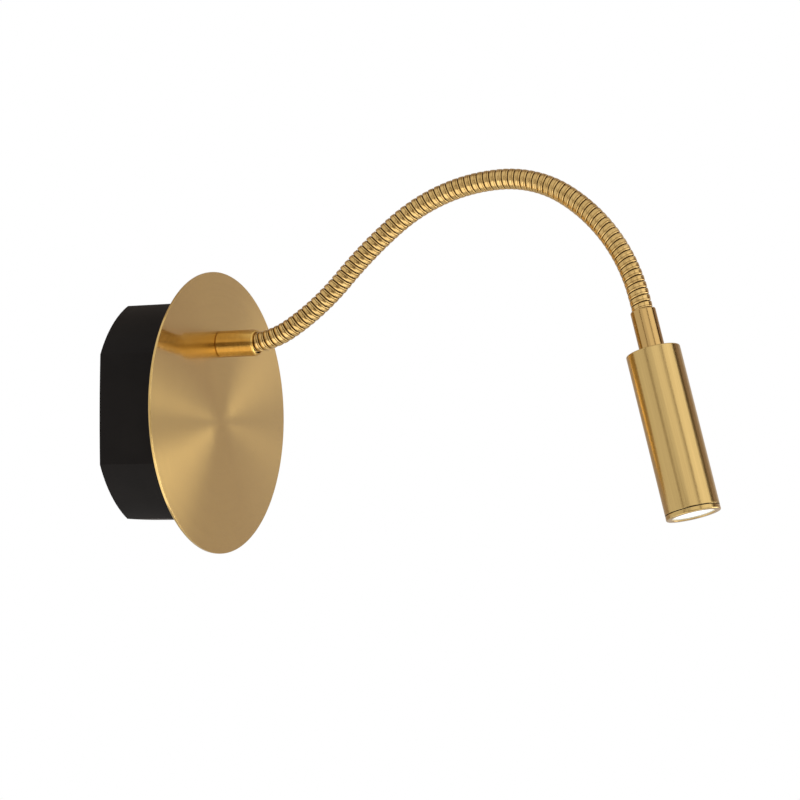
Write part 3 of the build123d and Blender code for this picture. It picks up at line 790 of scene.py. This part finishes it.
def makeHead():
    h = head
    tail, bore, socket = h["tailRadius"], h["boreRadius"], h["socketRadius"]
    mouth = easedEdge(h["ferruleRadius"], 0, h["ferruleEdge"], 1)
    ferrule = turnPiece("headFerrule", [(socket, 0)] + mouth + [
        (h["ferruleRadius"], h["ferruleLength"]), (tail, h["ferruleLength"]), (tail, h["tailEnd"]),
        (bore, h["tailEnd"]), (bore, h["socketDepth"]), (socket, h["socketDepth"])],
        steps=96, edge=h["ferruleBevel"], edgeSteps=2)
    rear, inside, hole = h["rear"], h["rear"] + h["rearWall"], tail + h["tailGap"]
    shellEnd = h["front"] - h["bezelHeight"] - h["groove"]
    body = turnPiece("headBody", [(hole, rear)] + easedEdge(h["radius"], rear, h["rearEdge"], 1) + [
        (h["radius"], shellEnd), (h["frontBore"], shellEnd), (h["frontBore"], h["stepAt"]),
        (h["innerRadius"], h["stepAt"]), (h["innerRadius"], inside), (hole, inside)],
        steps=160, edge=h["bodyBevel"], edgeSteps=2)
    low, lip = h["front"] - h["bezelHeight"], h["front"] - h["lip"]
    sleeveEnd = low - h["sleeveLength"]
    frontEdge = easedEdge(h["radius"], h["front"], h["bezelEdge"], -1)
    bezel = turnPiece("frontBezel", [(h["radius"], low)] + frontEdge[::-1] + [
        (h["opening"], h["front"]), (h["opening"], lip), (h["sleeveBore"], lip), (h["sleeveBore"], sleeveEnd),
        (h["sleeveRadius"], sleeveEnd), (h["sleeveRadius"], low)],
        steps=160, edge=h["bezelBevel"], edgeSteps=2)
    lens = turnPiece("frontLens", [
        (0, h["lensFront"]), (h["lensRing"], h["lensFront"]), (h["lensRadius"], h["lensFront"]),
        (h["lensRadius"], h["lensBack"]), (0, h["lensBack"])], steps=96, edge=h["lensBevel"], edgeSteps=2)
    # the faces in the groove get the dark finish, as painted shade in the gap between body and bezel
    bodyEnd, bezelEnd = (shellEnd - h["nearGroove"]) * mm, (low + h["nearGroove"]) * mm
    groove = {body: [face.index for face in body.data.polygons if face.center.z > bodyEnd],
              bezel: [face.index for face in bezel.data.polygons if face.center.z < bezelEnd]}
    for piece, material, node, slot in (
        (ferrule, ferruleBrass, "head_ferrule", "ferrule_brass"),
        (body, headBrass, "head_body", "head_brass"),
        (bezel, headBrass, "front_bezel", "head_brass"),
        (lens, finish["lensGlow"], "front_lens", "lens_glow"),
    ):
        placeBy(piece, headPlace)
        paint(piece, material)
        if piece in groove:
            piece.data.materials.append(finish["coreShadeDark"])
            for index in groove[piece]:
                piece.data.polygons[index].material_index = 1
        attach(piece, "head")
        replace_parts(piece, node)


makeHead()
print("head made")

# Lamp lead: a smooth curve in the box up to the neck, and a straight run in the head
lampLead = {
    "headMiddle": 40.0, "headEnd": 70.0, "smoothAngle": 40,
    "points": [(-26.3, -24, -14), (-27.5, -24, -14), (-34.3, -16, -6), (-31.3, -10, 12), (-7, -13.4, 27.3),
               (0, -18, 29.3), (0, -21.4, 29.3), (0, -41.025, 29.3)],
}


def makeLead(name, points, body):
    curve = bpy.data.curves.new(name, "CURVE")
    curve.dimensions = "3D"
    spline = curve.splines.new("NURBS")
    spline.points.add(len(points) - 1)
    for point, spot in zip(spline.points, points):
        point.co = (*(Vector(spot) * mm), 1)
    spline.order_u = 3
    spline.use_endpoint_u = True
    spline.resolution_u = 12
    curve.bevel_depth = neck["leadRadius"] * mm
    curve.bevel_resolution = 5
    curve.use_fill_caps = True
    piece = bpy.data.objects.new(name, curve)
    scene.collection.objects.link(piece)
    take(piece)
    bpy.ops.object.convert(target="MESH")
    piece = bpy.context.object
    paint(piece, finish["leadWhite"])
    smoothBy(piece, lampLead["smoothAngle"])
    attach(piece, body)
    return piece


headHeights = neck["lastStraight"], lampLead["headMiddle"], lampLead["headEnd"]
inHead = [headPlace @ Vector((0, 0, height * mm)) / mm for height in headHeights]
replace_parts(makeLead("lampLead", lampLead["points"], "base"), "lamp_lead")
makeLead("lampLeadEnd", inHead, "head")
print("leads laid")

# CAD nodes that stay, with their finishes
kept = {
    "boxBlack": ["back_box"], "screwBlack": ["box_fixing_screws"],
    "zincSteel": ["wall_bracket", "plate_nuts", "ferrule_washer", "module_screws", "head_nut",
                  "board_screws"],
    "screwBrass": ["ferrule_nut", "terminal_screws", "earth_screw"],
    "driverWhite": ["driver_case", "driver_cover"], "boardGreen": ["driver_board"],
    "terminalWhite": ["terminal_block"], "leadBrown": ["live_lead"], "leadBlue": ["neutral_lead"],
    "leadGreen": ["earth_lead"],
    "sealPale": ["lens_seal"], "reflectorBright": ["reflector"], "emitterYellow": ["led_emitter"],
    "boardWhite": ["led_board"], "sinkAluminium": ["heat_sink"],
}
for name, keptNodes in kept.items():
    for node in keptNodes:
        for item in nodes[node].material_slots:
            item.material = finish[name]
        if not nodes[node].material_slots:
            nodes[node].data.materials.append(finish[name])
print("kept nodes painted")


# Studio: a pale floor below the view, soft boxes, and cards that the brass reflects

studio = {
    "floorHeight": -0.62, "floorRadius": 0.9, "floorColour": (0.92, 0.92, 0.91),
    "surround": 0.7, "centre": (0, -0.12, 0),
    "floorPaint": {"vary": 1.02, "cloudSize": 4.0, "rough": 0.8},
    "cardPaint": {"vary": 1.1, "cloudSize": 3.0, "rough": 0.9},
    # azimuth from straight out of the wall, elevation, reach, width, height, brightness or colour
    "softBoxes": {
        "frontHigh": (-7, 29, 1.3, 1.21, 0.75, 0.52),
        "frontMid": (23, 7.5, 1.3, 1.09, 0.13, 2.0),
        "frontLow": (32, -12, 1.3, 0.76, 0.46, 4.3),
        "cameraSide": (-62, 16, 1.3, 0.7, 0.8, 0.3),
    },
    # these shine up from near the floor: x, y, width, depth, brightness
    "floorBoxHeight": -0.45,
    "floorBoxes": {"floorBack": (-0.65, 0.02, 1.1, 0.66, 1.3), "floorFront": (-0.2, -0.5, 0.7, 0.38, 1.1)},
    "cards": {
        "horizonCard": (7, 1.2, 1.36, 1.9, 0.14, (0.13, 0.11, 0.09)),
        "cameraCard": (-70, -8, 1.27, 1.0, 0.85, (0.28, 0.23, 0.18)),
        "rightCard": (98, -5, 1.36, 2.4, 2.6, (0.74, 0.66, 0.60)),
        "backCard": (152, 18, 1.36, 1.3, 2.6, (0.62, 0.50, 0.42)),
        "edgeCard": (26, 21, 1.27, 0.36, 0.58, (0.06, 0.025, 0.0)),
        "nearCard": (46, 21, 1.27, 0.62, 0.58, (0.46, 0.36, 0.33)),
        "skyCard": (113, 66, 1.36, 1.9, 1.15, (0.52, 0.44, 0.37)),
        "frontFlag": (-36, 15, 1.27, 0.13, 1.4, (0.32, 0.26, 0.2)),
        "leftFlag": (-105, 10, 1.27, 0.16, 1.2, (0.32, 0.26, 0.2)),
    },
}


# A place on the sphere round the lamp, facing its centre
def studioPlace(azimuth, elevation, reach):
    a, e = radians(azimuth), radians(elevation)
    away = Vector((sin(a) * cos(e), -cos(a) * cos(e), sin(e)))
    spot = Vector(studio["centre"]) + away * reach
    return Matrix.Translation(spot) @ away.to_track_quat("Z", "Y").to_matrix().to_4x4()


def makeBox(name, place, width, height, brightness):
    light = bpy.data.lights.new(name, "AREA")
    light.shape = "RECTANGLE"
    light.size, light.size_y = width, height
    light.energy = brightness * pi * width * height
    lamp = bpy.data.objects.new(name, light)
    scene.collection.objects.link(lamp)
    lamp.matrix_world = place
    lamp.visible_camera = False


def stagePaint(name, colour, look):
    material, tree, shader = newFinish(name)
    hand = groupIn(tree, handling, placed(tree), Size=look["cloudSize"])
    light = tuple(c * look["vary"] for c in colour)
    tree.links.new(mixColour(tree, hand["Cloud"], colour, light), shader.inputs["Base Color"])
    shader.inputs["Roughness"].default_value = look["rough"]
    return material


def makeStudio():
    bpy.ops.object.select_all(action="DESELECT")
    bpy.ops.mesh.primitive_circle_add(vertices=96, radius=studio["floorRadius"], fill_type="NGON",
                                      location=(*studio["centre"][:2], studio["floorHeight"]))
    floor = bpy.context.object
    floor.name = floor.data.name = "floor"
    paint(floor, stagePaint("floorPaint", studio["floorColour"], studio["floorPaint"]))

    world = bpy.data.worlds.new("surround")
    scene.world = world
    world.use_nodes = True
    tree = world.node_tree
    tree.nodes.clear()
    path = addNode(tree, "ShaderNodeLightPath")
    seen = mathNode(tree, "MAXIMUM", path.outputs["Is Camera Ray"], path.outputs["Is Glossy Ray"])
    seen = mathNode(tree, "MAXIMUM", seen, path.outputs["Is Transmission Ray"])
    background = addNode(tree, "ShaderNodeBackground")
    background.inputs["Color"].default_value = (1, 1, 1, 1)
    tree.links.new(between(tree, seen, studio["surround"], 1.0), background.inputs["Strength"])
    output = addNode(tree, "ShaderNodeOutputWorld")
    tree.links.new(background.outputs[0], output.inputs[0])

    for name, (azimuth, elevation, reach, width, height, brightness) in studio["softBoxes"].items():
        makeBox(name, studioPlace(azimuth, elevation, reach), width, height, brightness)
    for name, (x, y, width, depth, brightness) in studio["floorBoxes"].items():
        place = Matrix.Translation((x, y, studio["floorBoxHeight"])) @ Matrix.Rotation(pi, 4, "X")
        makeBox(name, place, width, depth, brightness)

    for name, (azimuth, elevation, reach, width, height, colour) in studio["cards"].items():
        bpy.ops.object.select_all(action="DESELECT")
        bpy.ops.mesh.primitive_plane_add(size=1)
        card = bpy.context.object
        card.name = card.data.name = name
        card.scale = (width, height, 1)
        bpy.ops.object.transform_apply(scale=True)
        placeBy(card, studioPlace(azimuth, elevation, reach))
        paint(card, stagePaint(name + "Paint", colour, studio["cardPaint"]))
        card.visible_camera = card.visible_shadow = card.visible_diffuse = False


makeStudio()

view = {
    "place": (-0.80241, -0.46157, -0.05043), "azimuth": -66.67, "elevation": -3.50, "roll": -0.29,
    "lens": 95.85, "sensor": 36,
}


def makeCamera():
    a, e, r = radians(view["azimuth"]), radians(view["elevation"]), radians(view["roll"])
    back = Vector((sin(a) * cos(e), -cos(a) * cos(e), sin(e)))
    right = Vector((cos(a), sin(a), 0))
    up = back.cross(right)
    right, up = right * cos(r) + up * sin(r), up * cos(r) - right * sin(r)
    data = bpy.data.cameras.new("photoView")
    data.lens = view["lens"]
    data.sensor_width = view["sensor"]
    camera = bpy.data.objects.new("photoView", data)
    scene.collection.objects.link(camera)
    turned = Matrix((right, up, back)).transposed().to_4x4()
    camera.matrix_world = Matrix.Translation(view["place"]) @ turned
    scene.camera = camera


makeCamera()
print("studio set")
